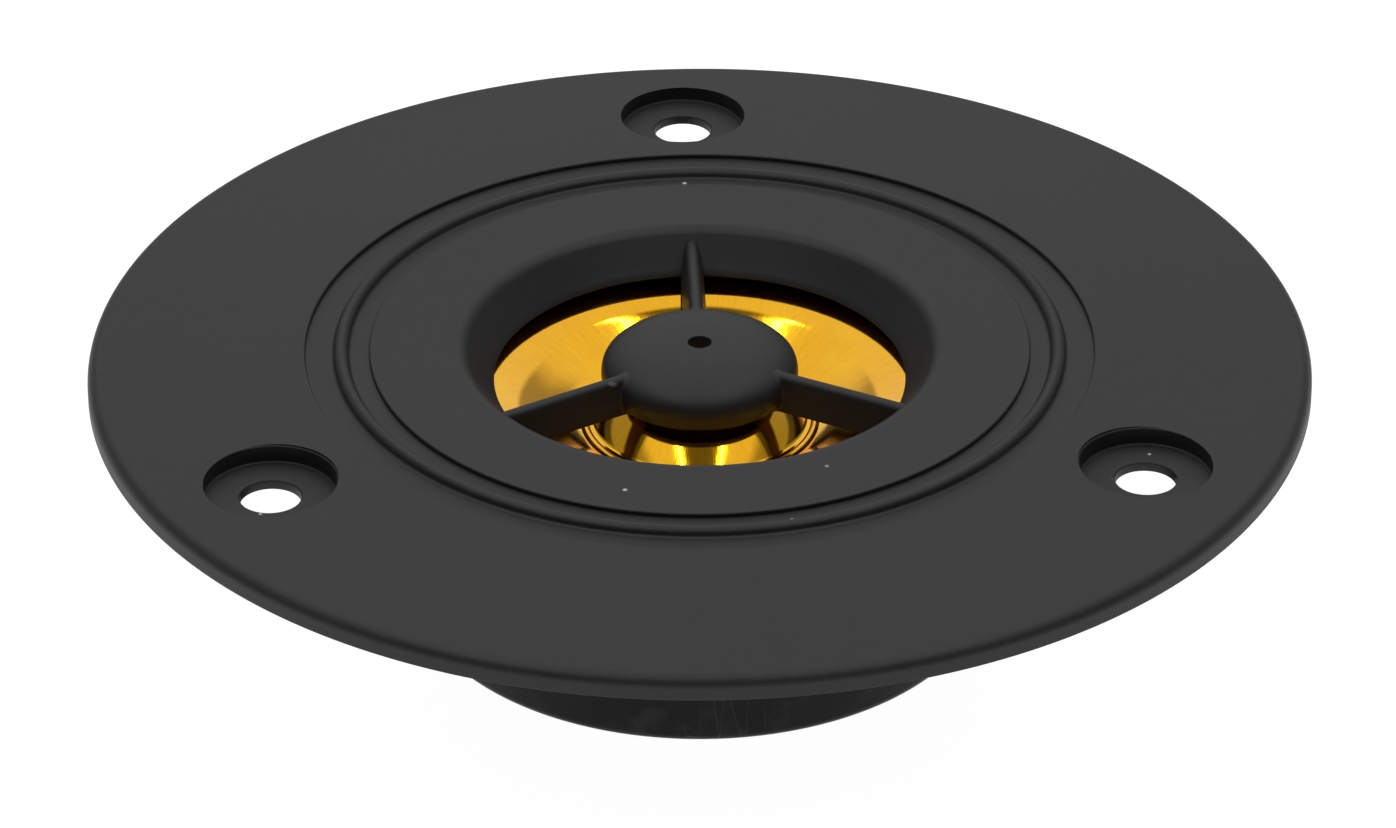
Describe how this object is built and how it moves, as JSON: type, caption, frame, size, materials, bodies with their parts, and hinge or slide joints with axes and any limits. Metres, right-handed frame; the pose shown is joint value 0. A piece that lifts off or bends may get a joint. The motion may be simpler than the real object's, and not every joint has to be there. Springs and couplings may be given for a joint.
{
  "type": "car tweeter",
  "caption": "Round black horn-loaded car tweeter: flange with recessed screw holes and a ring groove, spoked phase plug over a gold diaphragm, closed rear cup.",
  "frame": {"origin": "centre of the circle of the flange's screw holes, on the flange's rear seating face", "axes": "+Z along the axis out of the horn's mouth; one screw hole and one spoke point towards +Y, as do the terminals behind"},
  "size_m": [0.094, 0.094, 0.0221],
  "materials": {
    "black_plastic": "fine-grained matte black moulding",
    "cup_plastic": "smooth dark satin black moulding",
    "gold_film": "gold-coated pressed metal film, glossy",
    "surround_cloth": "doped black cloth",
    "former_film": "amber film, slightly glossy",
    "copper": "bare copper",
    "brass_plate": "brass, bright",
    "plated_steel": "zinc-plated steel, satin",
    "ferrite": "dark grey ground ferrite",
    "carrier_plastic": "black glass-filled nylon",
    "felt": "grey wool felt",
    "dark_felt": "black felt",
    "blackened_steel": "black oxide steel",
    "phenolic": "brown laminate board",
    "red_insulation": "soft red wire insulation"
  },
  "bodies": {
    "driver": {"faceplate": "black_plastic", "surround": "surround_cloth", "tinsel_leads": "copper", "lead_pads": "brass_plate", "carrier_ring": "carrier_plastic", "top_plate": "plated_steel", "magnet_ring": "ferrite", "back_plate": "plated_steel", "pole_piece": "plated_steel", "copper_cap": "copper", "dome_felt": "felt", "motor_screws": "blackened_steel", "rear_felt": "dark_felt", "rear_cup": "cup_plastic", "terminal_board": "phenolic", "positive_tab": "brass_plate", "negative_tab": "plated_steel", "terminal_rivets": "brass_plate", "lead_wires": "red_insulation"},
    "diaphragm": {"cone": "gold_film", "dome": "gold_film", "neck_bead": "gold_film", "coil_former": "former_film", "coil_winding": "copper"}
  },
  "joints": [
    {"name": "diaphragm_travel", "type": "slide", "parent": "driver", "child": "diaphragm", "axis": [0, 0, 1], "range_m": [-0.0003, 0.0003], "stiffness_N_per_m": 100, "deforming": ["surround", "tinsel_leads"]}
  ]
}
